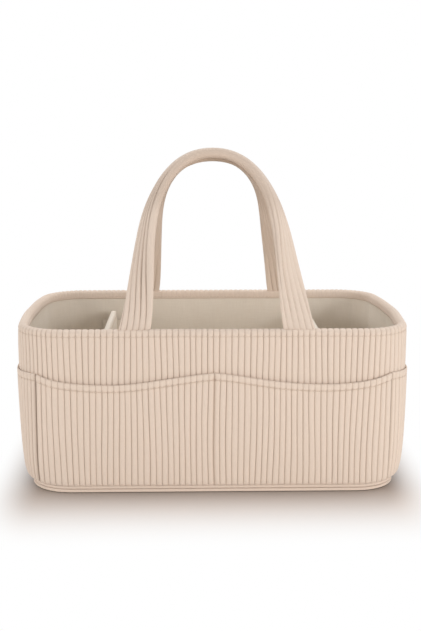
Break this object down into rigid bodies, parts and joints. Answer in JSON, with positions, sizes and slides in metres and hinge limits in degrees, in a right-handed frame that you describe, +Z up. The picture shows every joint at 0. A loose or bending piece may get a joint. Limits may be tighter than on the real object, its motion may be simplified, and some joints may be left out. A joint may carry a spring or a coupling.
{
  "type": "diaper caddy",
  "caption": "Soft corduroy carry basket with padded walls, scalloped outer pockets, swinging strap handles and lift-out dividers.",
  "frame": {"origin": "on the floor under the middle of the base", "axes": "+X to the right along the long side, +Y from the front to the back, +Z up"},
  "size_m": [0.3894, 0.2494, 0.3148],
  "materials": {
    "corduroy": "soft wide-wale corduroy, matt, warm beige",
    "lining": "plain-weave cotton, matt, cream",
    "padding": "white felted padding, hidden",
    "board": "grey-brown stiffening board, hidden",
    "tape": "woven hook-and-loop tape, matt, cream"
  },
  "bodies": {
    "caddy": {"outer_shell": "corduroy", "wall_lining": "lining", "front_wall_board": "padding", "back_wall_board": "padding", "left_end_board": "padding", "right_end_board": "padding", "front_pocket": "corduroy", "back_pocket": "corduroy", "left_end_pocket": "corduroy", "right_end_pocket": "corduroy", "base_panel": "corduroy", "base_piping": "corduroy", "base_board": "board", "floor_pad": "padding", "floor_lining": "lining", "loop_tape_front_left": "tape", "loop_tape_front_right": "tape", "loop_tape_back_left": "tape", "loop_tape_back_right": "tape", "front_handle_tail_left": "corduroy", "front_handle_tail_right": "corduroy", "back_handle_tail_left": "corduroy", "back_handle_tail_right": "corduroy"},
    "front_handle": {"front_handle_sleeve": "corduroy", "front_handle_core": "padding"},
    "back_handle": {"back_handle_sleeve": "corduroy", "back_handle_core": "padding"},
    "left_divider": {"left_divider_cover": "lining", "left_divider_board": "board", "left_divider_hook_tape_front": "tape", "left_divider_hook_tape_back": "tape"},
    "right_divider": {"right_divider_cover": "lining", "right_divider_board": "board", "right_divider_hook_tape_front": "tape", "right_divider_hook_tape_back": "tape"}
  },
  "joints": [
    {"name": "front_handle_swing", "type": "hinge", "parent": "caddy", "child": "front_handle", "pos_m": [0, -0.1175, 0.155], "axis": [1, 0, 0], "range_deg": [0, 165]},
    {"name": "back_handle_swing", "type": "hinge", "parent": "caddy", "child": "back_handle", "pos_m": [0, 0.1175, 0.155], "axis": [-1, 0, 0], "range_deg": [0, 165]},
    {"name": "left_divider_lift", "type": "slide", "parent": "caddy", "child": "left_divider", "axis": [0, 0, 1], "range_m": [0, 0.15]},
    {"name": "right_divider_lift", "type": "slide", "parent": "caddy", "child": "right_divider", "axis": [0, 0, 1], "range_m": [0, 0.15]}
  ]
}
